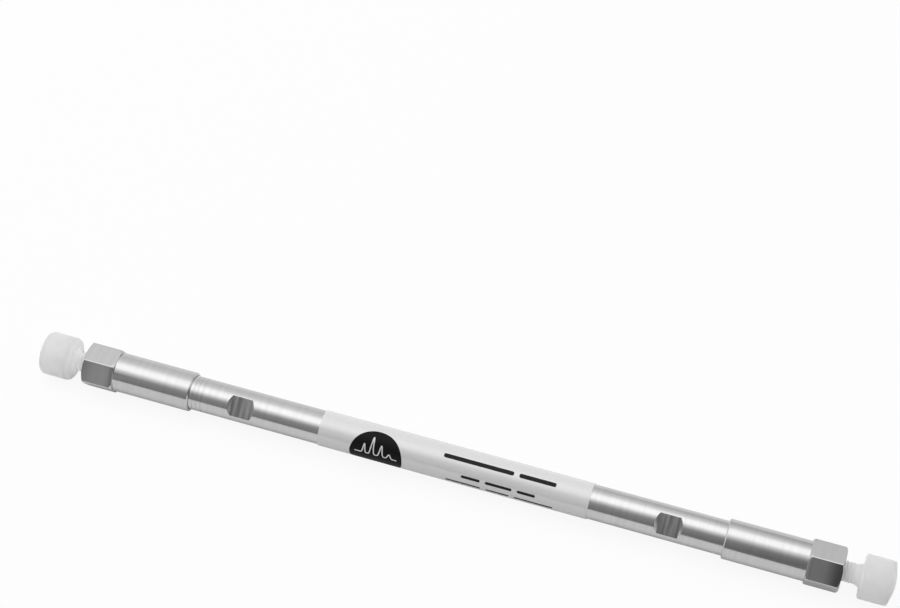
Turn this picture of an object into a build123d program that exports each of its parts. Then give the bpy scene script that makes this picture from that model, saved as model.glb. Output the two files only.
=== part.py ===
from build123d import *
from math import radians, sin, cos, tan
import os

# Packed liquid-chromatography column, closed for storage with a plug in each end.
# Frame: +X runs along the column from inlet to outlet, +Z is up, and the origin is on the axis at the
# middle of the tube. The column lies as it rests on a bench, on its two plug heads.
# Lengths are millimetres, angles degrees. Thread crests are plain cylinders here.

# ---------------------------------------------------------------- driving dimensions: tube
tube_length = 150.0
tube_diameter = 8.0
bore_diameter = 4.6
spigot_step = 0.1            # thread crests lie this far below the tube's surface
spigot_chamfer = 0.3
relief_width = 1.2           # run-out groove between the thread and the full diameter
relief_depth = 0.45          # below the thread crests

# wrench flats, a pair on opposite sides of the tube near each end
flat_from_mouth = 12.7       # from the end fitting's mouth to the middle of the flats
flat_length = 4.75
flat_depth = 0.825
flat_turn = 44.0             # elevation of the flats' normal on the front side

# two fine lines turned into the tube beside the inlet fitting
line_from_mouth = 1.0
line_spacing = 1.1
line_width = 0.14
line_depth = 0.05

# ---------------------------------------------------------------- driving dimensions: end fitting
fitting_overlap = 11.5       # length of tube inside the fitting
mouth_lap = 2.0              # length of full-diameter tube inside the fitting's mouth
mouth_chamfer = 0.25
barrel_wall = 0.575          # round the mouth's counterbore
hex_rise = 0.1375            # hex flats stand this far above the barrel
hex_length = 7.8
hex_end_chamfer = 0.8        # across the axis
hex_end_angle = 28.0         # of the end chamfer, from the fitting's outer face
hex_shoulder_chamfer = 0.45
inlet_hex_turn = -0.5        # how far past flat-down each hex stops when tight, about +X
outlet_hex_turn = -7.5
web_thickness = 2.2          # metal between the port's pilot hole and the frit pocket
flow_hole_diameter = 0.5

# coned tubing port in the fitting's outer face
port_diameter = 4.83
port_depth = 7.2
port_chamfer = 0.35
seat_mouth_diameter = 2.9
seat_angle = 20.0            # from the axis
pilot_diameter = 1.65
pilot_length = 2.3

# ---------------------------------------------------------------- driving dimensions: frit, ring, label
frit_lap = 0.2               # frit is larger than the bore all round
ring_thickness = 1.6
ring_margin = 0.4            # ring is smaller than the spigot all round
ring_proud = 0.1             # ring stands out of its pocket towards the tube
label_length = 64.0
label_offset = 0.45          # label's middle from the tube's middle, towards the outlet
label_thickness = 0.2
label_seam_width = 0.15
label_seam_depth = 0.1
label_seam_turn = -136.0     # elevation of the seam, measured as for the flats: low on the far side

# ---------------------------------------------------------------- driving dimensions: storage plug
head_diameter = 10.2
head_length = 6.7
head_dome = 0.8
head_bevel = 0.4
neck_length = 4.2            # shows between the fitting's face and the head
neck_thread_length = 2.6     # part of the neck that is threaded
neck_step = 0.1              # plain neck is smaller than the thread crests
neck_flare = 0.55            # neck widens by this much into the head
neck_flare_share = 0.7       # share of the plain neck that flares
shank_setback = 0.2          # shank stops this far short of the port's floor
nose_setback = 0.3           # nose stops this far short of the pilot hole

# ---------------------------------------------------------------- clearances
tube_fit = 0.05              # fitting's mouth round the tube
thread_fit = 0.05            # female thread round its male thread
press_fit = 0.02             # ring in its pocket, frit in its ring
bed_fit = 0.01               # bed in the bore
shoulder_gap = 0.3           # counterbore runs on past the spigot's shoulder
nose_gap = 0.05              # nose in its conical seat

# ---------------------------------------------------------------- derived sizes
tube_radius = tube_diameter / 2
bore_radius = bore_diameter / 2
spigot_radius = tube_radius - spigot_step
relief_radius = spigot_radius - relief_depth
tube_end = tube_length / 2
spigot_start = tube_end - fitting_overlap + mouth_lap
relief_end = spigot_start + relief_width

mouth_radius = tube_radius + tube_fit
barrel_radius = mouth_radius + barrel_wall
hex_across_flats = 2 * (barrel_radius + hex_rise)
hex_corner_radius = hex_across_flats / 2 / cos(radians(30))
end_chamfer_run = hex_end_chamfer * tan(radians(hex_end_angle))
thread_bore_radius = spigot_radius + thread_fit

frit_radius = bore_radius + frit_lap
ring_radius = spigot_radius - ring_margin
pocket_radius = ring_radius + press_fit

port_radius = port_diameter / 2
seat_mouth_radius = seat_mouth_diameter / 2
pilot_radius = pilot_diameter / 2
flow_hole_radius = flow_hole_diameter / 2
seat_length = (seat_mouth_radius - pilot_radius) / tan(radians(seat_angle))

# stations along the axis, measured outwards from the tube's middle
mouth_x = tube_end - fitting_overlap
counterbore_end_x = spigot_start + shoulder_gap
pocket_mouth_x = tube_end + ring_proud
pocket_floor_x = tube_end + ring_thickness
pilot_end_x = pocket_floor_x + web_thickness
seat_inner_x = pilot_end_x + pilot_length
port_floor_x = seat_inner_x + seat_length
face_x = port_floor_x + port_depth
hex_start_x = face_x - hex_length

head_radius = head_diameter / 2
head_x = face_x + neck_length
rim_x = head_x + head_length
shank_radius = port_radius - thread_fit
shank_end_x = port_floor_x + shank_setback
nose_base_radius = seat_mouth_radius - nose_gap
nose_tip_x = seat_inner_x + nose_setback
nose_tip_radius = pilot_radius + nose_setback * tan(radians(seat_angle)) - nose_gap
neck_radius = shank_radius - neck_step
thread_out_x = face_x + neck_thread_length
flare_x = head_x - neck_flare_share * (head_x - thread_out_x)
crown_radius = head_radius - head_bevel
crown_sphere_radius = (crown_radius**2 + head_dome**2) / (2 * head_dome)

# each end: name, direction along X, hex turn about +X
ENDS = (("inlet", -1, inlet_hex_turn), ("outlet", 1, outlet_hex_turn))


def section_plane(direction):
    """Half-section plane of one end: local x is the distance outwards along the axis, local y the radius."""
    return Plane(origin=(0, 0, 0), x_dir=(direction, 0, 0), z_dir=(0, -direction, 0))


def turned_plane(turn):
    """Plane along the axis whose local y points towards the front side, raised by turn from the horizontal."""
    return Plane(origin=(0, 0, 0), x_dir=(1, 0, 0), z_dir=(0, -sin(radians(turn)), -cos(radians(turn))))


os.makedirs("parts", exist_ok=True)

# ---------------------------------------------------------------- column tube
# Thick-walled steel tube: a threaded spigot with a run-out groove at each end, two pairs of wrench flats.
with BuildPart() as column_tube:
    with BuildSketch(section_plane(1)):
        with BuildLine():
            half = Polyline(
                (0, bore_radius),
                (tube_end, bore_radius),
                (tube_end, spigot_radius - spigot_chamfer),
                (tube_end - spigot_chamfer, spigot_radius),
                (relief_end, spigot_radius),
                (relief_end, relief_radius),
                (spigot_start, relief_radius),
                (spigot_start, tube_radius),
                (0, tube_radius),
            )
            mirror(half, about=Plane.YZ)
        make_face()
    revolve(axis=Axis.X)
    flat_x = mouth_x - flat_from_mouth
    with BuildSketch(turned_plane(flat_turn)) as flats:
        with BuildLine():
            Polyline(
                (flat_x - flat_length / 2, tube_radius - flat_depth),
                (flat_x + flat_length / 2, tube_radius - flat_depth),
                (flat_x + flat_length / 2 + 2 * flat_depth, tube_radius + flat_depth),
                (flat_x - flat_length / 2 - 2 * flat_depth, tube_radius + flat_depth),
                close=True,
            )
        make_face()
        mirror(about=Plane.YZ)
        mirror(about=Plane.XZ)
    extrude(amount=tube_radius, both=True, mode=Mode.SUBTRACT)
    line_xs = (mouth_x - line_from_mouth, mouth_x - line_from_mouth - line_spacing)
    with BuildSketch(section_plane(-1)):
        for line_x in line_xs:
            with Locations((line_x, tube_radius)):
                Rectangle(line_width, 2 * line_depth)
    revolve(axis=Axis.X, mode=Mode.SUBTRACT)

column_tube.part.label = "column_tube"
export_step(column_tube.part, "parts/column_tube.step")

# ---------------------------------------------------------------- packed bed
# Porous particles that fill the bore from frit to frit.
with BuildPart() as packed_bed:
    with BuildSketch(Plane.YZ):
        Circle(bore_radius - bed_fit)
    extrude(amount=tube_end, both=True)

packed_bed.part.label = "packed_bed"
export_step(packed_bed.part, "parts/packed_bed.step")

# ---------------------------------------------------------------- label
# Film wound round the middle of the tube, with the edge of its last turn as a fine step along the back.
with BuildPart() as label:
    with BuildSketch(Plane.YZ.offset(label_offset)):
        Circle(tube_radius + label_thickness)
        Circle(tube_radius, mode=Mode.SUBTRACT)
    extrude(amount=label_length / 2, both=True)
    with BuildSketch(turned_plane(label_seam_turn)):
        with Locations((label_offset, tube_radius + label_thickness)):
            Rectangle(label_length, 2 * label_seam_depth)
    extrude(amount=label_seam_width / 2, both=True, mode=Mode.SUBTRACT)

label.part.label = "label"
export_step(label.part, "parts/label.step")

for end, direction, hex_turn in ENDS:
    section = section_plane(direction)

    # ------------------------------------------------------------ end fitting
    # Hex and long barrel turned from one bar. Inside, from the mouth: counterbore over the tube, female
    # thread, frit pocket, flow hole, pilot hole, conical seat and flat-floored threaded port.
    with BuildPart() as end_fitting:
        hex_plane = Plane(origin=(direction * hex_start_x, 0, 0), x_dir=(0, 0, 1), z_dir=(direction, 0, 0))
        with BuildSketch(hex_plane):
            RegularPolygon(hex_across_flats / 2, 6, major_radius=False, rotation=30 + direction * hex_turn)
        extrude(amount=hex_length)
        with BuildSketch(section):
            with BuildLine():
                Polyline(
                    (hex_start_x, 0),
                    (hex_start_x, hex_corner_radius - hex_shoulder_chamfer),
                    (hex_start_x + hex_shoulder_chamfer, hex_corner_radius),
                    (face_x - end_chamfer_run, hex_corner_radius),
                    (face_x, hex_corner_radius - hex_end_chamfer),
                    (face_x, 0),
                    close=True,
                )
            make_face()
        revolve(axis=Axis.X, mode=Mode.INTERSECT)
        with BuildSketch(section):
            with BuildLine():
                Polyline(
                    (mouth_x, 0),
                    (mouth_x, barrel_radius - mouth_chamfer),
                    (mouth_x + mouth_chamfer, barrel_radius),
                    (hex_start_x, barrel_radius),
                    (hex_start_x, 0),
                    close=True,
                )
            make_face()
        revolve(axis=Axis.X)
        with BuildSketch(section):
            with BuildLine():
                Polyline(
                    (mouth_x, 0),
                    (mouth_x, mouth_radius),
                    (counterbore_end_x, mouth_radius),
                    (counterbore_end_x, thread_bore_radius),
                    (pocket_mouth_x, thread_bore_radius),
                    (pocket_mouth_x, pocket_radius),
                    (pocket_floor_x, pocket_radius),
                    (pocket_floor_x, flow_hole_radius),
                    (pilot_end_x, flow_hole_radius),
                    (pilot_end_x, pilot_radius),
                    (seat_inner_x, pilot_radius),
                    (port_floor_x, seat_mouth_radius),
                    (port_floor_x, port_radius),
                    (face_x - port_chamfer, port_radius),
                    (face_x, port_radius + port_chamfer),
                    (face_x, 0),
                    close=True,
                )
            make_face()
        revolve(axis=Axis.X, mode=Mode.SUBTRACT)

    end_fitting.part.label = f"{end}_end_fitting"
    export_step(end_fitting.part, f"parts/{end}_end_fitting.step")

    # ------------------------------------------------------------ frit
    # Sintered disc over the end of the bore; it holds the packing and lets the liquid through.
    with BuildPart() as frit:
        with BuildSketch(section):
            with Locations((tube_end, 0)):
                Rectangle(ring_thickness, frit_radius, align=(Align.MIN, Align.MIN))
        revolve(axis=Axis.X)

    frit.part.label = f"{end}_frit"
    export_step(frit.part, f"parts/{end}_frit.step")

    # ------------------------------------------------------------ frit ring
    # Plastic ring pressed round the frit; the end of the tube squeezes it and seals on it.
    with BuildPart() as frit_ring:
        ring_hole_radius = frit_radius + press_fit
        with BuildSketch(section):
            with Locations((tube_end, ring_hole_radius)):
                Rectangle(ring_thickness, ring_radius - ring_hole_radius, align=(Align.MIN, Align.MIN))
        revolve(axis=Axis.X)

    frit_ring.part.label = f"{end}_frit_ring"
    export_step(frit_ring.part, f"parts/{end}_frit_ring.step")

    # ------------------------------------------------------------ storage plug
    # Moulded plug: domed round head, short flared neck, threaded shank and a nose that closes the seat.
    with BuildPart() as plug:
        with BuildSketch(section):
            with BuildLine():
                outline = Polyline(
                    (rim_x + head_dome, 0),
                    (nose_tip_x, 0),
                    (nose_tip_x, nose_tip_radius),
                    (port_floor_x, nose_base_radius),
                    (shank_end_x, nose_base_radius),
                    (shank_end_x, shank_radius),
                    (thread_out_x, shank_radius),
                    (thread_out_x, neck_radius),
                    (flare_x, neck_radius),
                    (head_x, neck_radius + neck_flare),
                    (head_x, head_radius - head_bevel),
                    (head_x + head_bevel, head_radius),
                    (rim_x - head_bevel, head_radius),
                    (rim_x, crown_radius),
                )
                RadiusArc(outline @ 1, outline @ 0, crown_sphere_radius)
            make_face()
        revolve(axis=Axis.X)

    plug.part.label = f"{end}_plug"
    export_step(plug.part, f"parts/{end}_plug.step")
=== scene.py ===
import logging
import math
from dataclasses import dataclass, field
from enum import Enum
from functools import cache
from typing import Any, Optional, Sequence, Union

import bmesh
import bpy
import numpy as np
from mathutils import Matrix, Vector


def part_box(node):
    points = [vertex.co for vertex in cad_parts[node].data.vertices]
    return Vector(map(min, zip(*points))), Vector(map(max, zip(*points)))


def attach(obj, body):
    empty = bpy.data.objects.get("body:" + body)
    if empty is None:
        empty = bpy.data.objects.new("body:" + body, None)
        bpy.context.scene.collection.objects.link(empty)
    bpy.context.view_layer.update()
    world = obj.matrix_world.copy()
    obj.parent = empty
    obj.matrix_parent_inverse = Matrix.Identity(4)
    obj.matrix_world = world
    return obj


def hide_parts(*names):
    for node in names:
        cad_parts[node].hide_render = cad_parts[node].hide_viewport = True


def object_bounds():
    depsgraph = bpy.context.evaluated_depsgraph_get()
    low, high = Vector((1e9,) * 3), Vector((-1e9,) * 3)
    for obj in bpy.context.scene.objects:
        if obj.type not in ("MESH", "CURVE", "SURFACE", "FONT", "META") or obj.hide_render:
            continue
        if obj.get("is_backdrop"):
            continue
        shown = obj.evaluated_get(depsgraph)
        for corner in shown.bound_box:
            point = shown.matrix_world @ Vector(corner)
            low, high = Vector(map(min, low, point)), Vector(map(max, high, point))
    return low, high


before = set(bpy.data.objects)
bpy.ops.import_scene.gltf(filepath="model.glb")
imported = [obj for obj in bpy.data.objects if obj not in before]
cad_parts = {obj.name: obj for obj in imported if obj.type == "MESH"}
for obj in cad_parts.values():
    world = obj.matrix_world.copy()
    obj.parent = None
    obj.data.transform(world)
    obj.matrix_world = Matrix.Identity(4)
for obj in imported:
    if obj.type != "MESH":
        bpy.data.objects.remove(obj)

# Packed chromatography column with an end fitting, frit, seal ring and storage plug at each end.
# Everything is in metres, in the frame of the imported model: +X from inlet to outlet, +Z up.
# A bearing is the elevation of a surface's normal on the front side, so 90 degrees faces up.

MM = 0.001
TURN = 2 * math.pi
LOG = logging.getLogger("column")
WELD_REACH = 0.0015 * MM
INK_WELD_REACH = 0.0005 * MM
SHARP_ANGLE = math.radians(38)
PRESS_FIT = 0.02 * MM
FINE_ROUND = 0.05 * MM
RIM_ROUND = 0.06 * MM
EDGE_ROUND = 0.08 * MM
HALF_FLAT = math.radians(30)  # half of the angle that one flat of a hex takes up
Number = Union[float, np.ndarray]
SocketValue = Union[float, int, str, Sequence[float], "Signal", bpy.types.ID]


class End(Enum):
    """The two ends of the column, with the way along X that leads out of each."""

    INLET = ("inlet", -1)
    OUTLET = ("outlet", 1)

    @property
    def label(self) -> str:
        """Name that the end's CAD nodes start with."""
        return self.value[0]

    @property
    def outward(self) -> int:
        """Direction out of the column along X."""
        return self.value[1]


# ---------------------------------------------------------------- node trees
@dataclass(frozen=True)
class Signal:
    """One output socket of a node tree. Arithmetic on it adds Math nodes."""

    tree: "Tree"
    socket: bpy.types.NodeSocket

    def other(self, name: Union[str, int]) -> "Signal":
        """Another output of the same node."""
        return Signal(self.tree, self.socket.node.outputs[name])

    def maths(self, operation: str, *values: SocketValue) -> "Signal":
        """Result of a Math node whose first value is this socket.

        Args:
            operation: The Math node's operation.
            values: Its further values.

        Returns:
            The node's output.
        """
        sockets = dict(enumerate((self, *values)))
        return self.tree.node("ShaderNodeMath", {"operation": operation}, sockets)

    def __add__(self, other: SocketValue) -> "Signal":
        """Sum."""
        return self.maths("ADD", other)

    __radd__ = __add__

    def __mul__(self, other: SocketValue) -> "Signal":
        """Product."""
        return self.maths("MULTIPLY", other)

    __rmul__ = __mul__

    def __sub__(self, other: SocketValue) -> "Signal":
        """Difference."""
        return self.maths("SUBTRACT", other)

    def __rsub__(self, other: SocketValue) -> "Signal":
        """Difference from a value on the left."""
        return self * -1.0 + other

    def __truediv__(self, other: SocketValue) -> "Signal":
        """Quotient."""
        return self.maths("DIVIDE", other)

    def __neg__(self) -> "Signal":
        """Opposite value."""
        return self * -1.0

    def __abs__(self) -> "Signal":
        """Value without its sign."""
        return self.maths("ABSOLUTE")

    def between(self, low: float, high: float) -> "Signal":
        """Share of the way from low to high, kept between 0 and 1."""
        sockets = {0: self, 1: low, 2: high, 3: 0.0, 4: 1.0}
        return self.tree.node("ShaderNodeMapRange", {"clamp": True}, sockets)

    def smooth_between(self, low: float, high: float) -> "Signal":
        """Share of the way from low to high, kept between 0 and 1 and eased at both."""
        settings = {"clamp": True, "interpolation_type": "SMOOTHSTEP"}
        return self.tree.node("ShaderNodeMapRange", settings, {0: self, 1: low, 2: high, 3: 0.0, 4: 1.0})


@dataclass(frozen=True)
class Tree:
    """Writes nodes into one node tree."""

    tree: bpy.types.NodeTree

    def node(
        self,
        kind: str,
        settings: Optional[dict[str, Any]] = None,
        sockets: Optional[dict[Union[str, int], SocketValue]] = None,
        output: Union[str, int] = 0,
    ) -> Signal:
        """Adds one node.

        Args:
            kind: The node's type.
            settings: Its properties, set before its sockets; "stops" are a ramp's positions and greys.
            sockets: Values or signals for its inputs, by name or index.
            output: The output that is wanted.

        Returns:
            That output, or for a node without outputs its first input.
        """
        made = self.tree.nodes.new(kind)
        for name, value in (settings or {}).items():
            if name == "stops":
                self._set_stops(made.color_ramp, value)
            else:
                setattr(made, name, value)
        for key, value in (sockets or {}).items():
            if isinstance(value, Signal):
                self.tree.links.new(value.socket, made.inputs[key])
            else:
                made.inputs[key].default_value = value
        return Signal(self, made.outputs[output] if made.outputs else made.inputs[0])

    @staticmethod
    def _set_stops(ramp: bpy.types.ColorRamp, stops: Sequence[tuple[float, float]]) -> None:
        """Gives a colour ramp its stops.

        Args:
            ramp: The ramp, with Blender's own two stops.
            stops: Position and grey of each stop, in rising order.
        """
        while len(ramp.elements) < len(stops):
            ramp.elements.new(1.0)
        for element, (position, level) in zip(ramp.elements, stops):
            element.position = position
            element.color = grey(level)

    def mix_colour(self, share: SocketValue, first: SocketValue, second: SocketValue) -> Signal:
        """Colour between two others.

        Args:
            share: 0 for the first colour, 1 for the second.
            first: Colour with alpha, or a signal.
            second: Colour with alpha, or a signal.

        Returns:
            The mixed colour.
        """
        return self.node("ShaderNodeMix", {"data_type": "RGBA"}, {0: share, 6: first, 7: second}, 2)

    def place(self) -> tuple[Signal, Signal, Signal]:
        """The three Object coordinates of the shaded point, in metres."""
        here = self.node("ShaderNodeTexCoord", output="Object")
        x = self.node("ShaderNodeSeparateXYZ", sockets={0: here})
        return x, x.other(1), x.other(2)

    def noise(self, x: SocketValue, y: SocketValue, z: SocketValue, detail: float = 2.0) -> Signal:
        """Noise at a place, about 0.5 on average.

        Args:
            x: Place along the first axis, in widths of the noise's cells.
            y: Place along the second axis.
            z: Place along the third axis.
            detail: Number of finer layers.

        Returns:
            The noise.
        """
        at = self.node("ShaderNodeCombineXYZ", sockets={0: x, 1: y, 2: z})
        return self.node("ShaderNodeTexNoise", sockets={"Vector": at, "Scale": 1.0, "Detail": detail})

    def grain(self, size: float, detail: float = 2.0) -> Signal:
        """Noise with the same cell size in metres every way."""
        x, y, z = self.place()
        return self.noise(x / size, y / size, z / size, detail)

    def bump(self, height: Signal, depth: float, under: Optional[Signal] = None) -> Signal:
        """Normal of a surface raised by a height.

        Args:
            height: Height, mostly between 0 and 1.
            depth: Metres that a height of 1 stands for.
            under: Normal of the surface underneath, where it has one.

        Returns:
            The normal.
        """
        sockets: dict[Union[str, int], SocketValue] = {"Strength": 1.0, "Distance": depth, "Height": height}
        if under is not None:
            sockets["Normal"] = under
        return self.node("ShaderNodeBump", sockets=sockets)

    def hand_out(self, geometry: Signal, reach: float, material: Signal) -> None:
        """Makes a geometry the tree's output, after its double points are merged and it is dressed.

        Args:
            geometry: The geometry.
            reach: Distance within which points are merged.
            material: Its material.
        """
        welded = self.node("GeometryNodeMergeByDistance", sockets={"Geometry": geometry, "Distance": reach})
        realised = self.node("GeometryNodeRealizeInstances", sockets={"Geometry": welded})
        dressed = self.node("GeometryNodeSetMaterial", sockets={"Geometry": realised, "Material": material})
        self.node("NodeGroupOutput", sockets={"Geometry": dressed})


def grey(level: float) -> tuple[float, float, float, float]:
    """Neutral colour of a linear level, with alpha."""
    return (level, level, level, 1.0)


def new_group(name: str, inputs: Sequence[tuple[str, str]]) -> bpy.types.NodeTree:
    """Starts a Geometry Nodes tree.

    Args:
        name: The tree's name.
        inputs: Name and kind of each of its inputs.

    Returns:
        The tree, with these inputs and a geometry for its output.
    """
    group = bpy.data.node_groups.new(name, "GeometryNodeTree")
    group.interface.new_socket(name="Geometry", in_out="OUTPUT", socket_type="NodeSocketGeometry")
    for label, kind in inputs:
        group.interface.new_socket(name=label, in_out="INPUT", socket_type=f"NodeSocket{kind}")
    return group


def linked_object(name: str, data: bpy.types.ID) -> bpy.types.Object:
    """New object with this data, linked to the scene."""
    made = bpy.data.objects.new(name, data)
    bpy.context.scene.collection.objects.link(made)
    return made


def written_mesh(name: str, work: bmesh.types.BMesh) -> bpy.types.Mesh:
    """New mesh with what was written to a bmesh, which is freed."""
    mesh = bpy.data.meshes.new(name)
    work.to_mesh(mesh)
    work.free()
    return mesh


# ---------------------------------------------------------------- finishes
@dataclass(frozen=True)
class Finish:
    """Surface finish that becomes one material."""

    name: str

    @cache
    def material(self) -> bpy.types.Material:
        """Builds the material on first use.

        Returns:
            The material, shared by all pieces with this finish.
        """
        made = bpy.data.materials.new(self.name)
        made.use_nodes = True
        made.node_tree.nodes.clear()
        tree = Tree(made.node_tree)
        tree.node("ShaderNodeOutputMaterial", sockets={"Surface": self.surface(tree)})
        return made

    def surface(self, tree: Tree) -> Signal:
        """Shader of the finish; each finish writes its own."""
        raise NotImplementedError


@dataclass(frozen=True)
class CutSteel(Finish):
    """Stainless steel with tool marks that run round the axis, or across a flat."""

    level: float = 0.53
    rough_low: float = 0.17
    rough_high: float = 0.25
    mark_pitch: float = 0.11 * MM
    mark_depth: float = 0.0011 * MM
    band_pitch: float = 0.7 * MM
    band_contrast: float = 0.06
    mark_run: float = 9.0 * MM
    haze_size: float = 5.0 * MM
    haze_share: float = 0.7

    def surface(self, tree: Tree) -> Signal:
        """Steel shader: fine marks in the normal, bands in colour, hazes in roughness."""
        x, y, z = tree.place()
        marks = tree.noise(x / self.mark_pitch, y / self.mark_run, z / self.mark_run, 2.0)
        bands = tree.noise(x / self.band_pitch, y / self.mark_run, z / self.mark_run, 3.0)
        haze = tree.grain(self.haze_size, 4.0)
        tone = bands.between(0.3, 0.7)
        dark, light = self.level * (1 - self.band_contrast), self.level * (1 + self.band_contrast)
        colour = tree.mix_colour(tone, grey(dark), grey(light))
        spread = self.rough_high - self.rough_low
        fine = marks * ((1.0 - self.haze_share) * spread)
        rough = haze.between(0.32, 0.68) * (self.haze_share * spread) + fine + self.rough_low
        sockets = {
            "Base Color": colour,
            "Metallic": 1.0,
            "Roughness": rough,
            "Normal": tree.bump(marks, self.mark_depth),
        }
        return tree.node("ShaderNodeBsdfPrincipled", sockets=sockets)


@dataclass(frozen=True)
class SinteredSteel(Finish):
    """Porous steel pressed from powder: matte, with fused grains and dark pores."""

    grain_size: float = 0.12 * MM
    grain_depth: float = 0.02 * MM
    pore_level: float = 0.13
    grain_level: float = 0.46

    def surface(self, tree: Tree) -> Signal:
        """Sintered shader: cells of a Voronoi texture are grains, their borders pores."""
        here = tree.node("ShaderNodeTexCoord", output="Object")
        cells = tree.node(
            "ShaderNodeTexVoronoi",
            {"feature": "DISTANCE_TO_EDGE"},
            {"Vector": here, "Scale": 1.0 / self.grain_size},
        )
        solid = cells.between(0.02, 0.22)
        colour = tree.mix_colour(solid, grey(self.pore_level), grey(self.grain_level))
        sockets = {
            "Base Color": colour,
            "Metallic": 0.85,
            "Roughness": 0.72 - solid * 0.2,
            "Normal": tree.bump(solid, self.grain_depth),
        }
        return tree.node("ShaderNodeBsdfPrincipled", sockets=sockets)


@dataclass(frozen=True)
class TurnedPlastic(Finish):
    """Slightly translucent plastic turned from rod, with faint tool marks round the axis."""

    colour: tuple[float, float, float] = (0.87, 0.87, 0.87)
    rough: float = 0.42
    glow: float = 1.0
    glow_depth: float = 32.0 * MM
    mark_pitch: float = 0.16 * MM
    mark_run: float = 6.0 * MM
    mark_depth: float = 0.0022 * MM
    cloud_size: float = 2.6 * MM
    cloud_shade: float = 0.955
    # painted shade: the stem's colour is this darker grey, fading into the head's colour by radius and by
    # place along the column
    stem_shade_level: float = 0.73
    stem_radius: float = 2.6 * MM
    rim_radius: float = 4.7 * MM
    head_middle: float = 97.0 * MM
    head_fade: float = 1.5 * MM
    inlet_fade: float = 1.0 * MM
    inlet_unshaded_share: float = 0.75

    def surface(self, tree: Tree) -> Signal:
        """Plastic shader: light goes a little way in, marks and cloudiness vary gloss and colour.

        The stem's colour is painted darker than its head's, as painted shade, less so at the inlet, where
        little of it shows.
        """
        x, y, z = tree.place()
        marks = tree.noise(x / self.mark_pitch, y / self.mark_run, z / self.mark_run, 2.0)
        cloud = tree.grain(self.cloud_size, 3.0).between(0.3, 0.7)
        # painted shade mask: 0 on the stem, which takes the darker grey, 1 on the head and rim
        wide = (y * y + z * z).maths("SQRT").smooth_between(self.stem_radius, self.rim_radius)
        outer = abs(x).smooth_between(self.head_middle, self.head_middle + self.head_fade)
        inlet = (-x).smooth_between(0.0, self.inlet_fade) * self.inlet_unshaded_share
        head = wide.maths("MAXIMUM", outer).maths("MAXIMUM", inlet)
        pale = (*self.colour, 1.0)
        shade = (*(self.cloud_shade * c for c in self.colour), 1.0)
        clouded = tree.mix_colour(cloud, shade, pale)
        sockets = {
            "Base Color": tree.mix_colour(head, grey(self.stem_shade_level), clouded),
            "Roughness": marks * 0.06 + cloud * 0.05 + (self.rough - 0.05),
            "Subsurface Weight": self.glow,
            "Subsurface Radius": (1.0, 1.0, 1.0),
            "Subsurface Scale": self.glow_depth,
            "IOR": 1.43,
            "Normal": tree.bump(marks, self.mark_depth),
        }
        return tree.node("ShaderNodeBsdfPrincipled", {"subsurface_method": "BURLEY"}, sockets)


@dataclass(frozen=True)
class PrintedFilm(Finish):
    """Satin film or ink on it, with the faint unevenness of glue underneath."""

    level: float = 0.73
    rough: float = 0.16
    gloss: float = 1.0
    refraction: float = 1.65
    waviness: float = 0.003 * MM
    wave_length: float = 5.0 * MM
    wave_width: float = 2.5 * MM
    tooth_size: float = 0.09 * MM
    speck_size: float = 0.8 * MM

    def surface(self, tree: Tree) -> Signal:
        """Film shader: slow waves and fine tooth in the normal, speckled tone."""
        x, y, z = tree.place()
        waves = tree.noise(x / self.wave_length, y / self.wave_width, z / self.wave_width, 1.0)
        tooth = tree.grain(self.tooth_size, 2.0)
        speck = tree.grain(self.speck_size, 3.0).between(0.25, 0.75)
        under = tree.bump(waves, self.waviness * 4)
        sockets = {
            "Base Color": tree.mix_colour(speck, grey(self.level * 0.975), grey(self.level * 1.015)),
            "Roughness": tooth * 0.08 + (self.rough - 0.04),
            "Specular IOR Level": self.gloss,
            "IOR": self.refraction,
            "Normal": tree.bump(tooth, self.waviness * 0.25, under),
        }
        return tree.node("ShaderNodeBsdfPrincipled", sockets=sockets)


@dataclass(frozen=True)
class PackedPowder(Finish):
    """Fine white particles packed hard."""

    level: float = 0.88
    grain_size: float = 0.05 * MM
    grain_depth: float = 0.012 * MM
    clump_size: float = 0.6 * MM

    def surface(self, tree: Tree) -> Signal:
        """Powder shader: matte, with grains far smaller than the bore."""
        grains = tree.grain(self.grain_size, 3.0)
        clumps = tree.grain(self.clump_size, 2.0).between(0.3, 0.7)
        sockets = {
            "Base Color": tree.mix_colour(clumps, grey(self.level * 0.93), grey(self.level)),
            "Roughness": grains * 0.1 + 0.85,
            "Normal": tree.bump(grains, self.grain_depth),
        }
        return tree.node("ShaderNodeBsdfPrincipled", sockets=sockets)


TUBE_STEEL = CutSteel(
    "ground_tube_steel", rough_low=0.14, rough_high=0.19, mark_depth=0.0009 * MM, band_contrast=0.035,
)
FITTING_STEEL = CutSteel(
    "turned_fitting_steel", level=0.52, rough_low=0.13, rough_high=0.18, mark_pitch=0.14 * MM,
    mark_depth=0.0009 * MM, band_contrast=0.035,
)
HEX_STEEL = CutSteel(
    "hex_bar_steel", level=0.52, rough_low=0.06, rough_high=0.1, mark_pitch=0.2 * MM,
    mark_depth=0.0002 * MM, band_pitch=1.1 * MM, band_contrast=0.025,
)
MILLED_STEEL = CutSteel(
    "milled_flat_steel", level=0.42, rough_low=0.2, rough_high=0.32, mark_pitch=0.45 * MM,
    mark_depth=0.012 * MM, band_pitch=0.8 * MM, band_contrast=0.5, mark_run=14 * MM,
)
THREAD_STEEL = CutSteel(
    "cut_thread_steel", level=0.48, rough_low=0.26, rough_high=0.36, mark_pitch=0.08 * MM,
)
FRIT_STEEL = SinteredSteel("sintered_frit_steel")
SEAL_PLASTIC = TurnedPlastic("seal_ring_plastic", colour=(0.7, 0.63, 0.5), rough=0.5, glow=0.1)
PLUG_PLASTIC = TurnedPlastic("stopper_plastic")
LABEL_FILM = PrintedFilm("wound_film")
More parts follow.
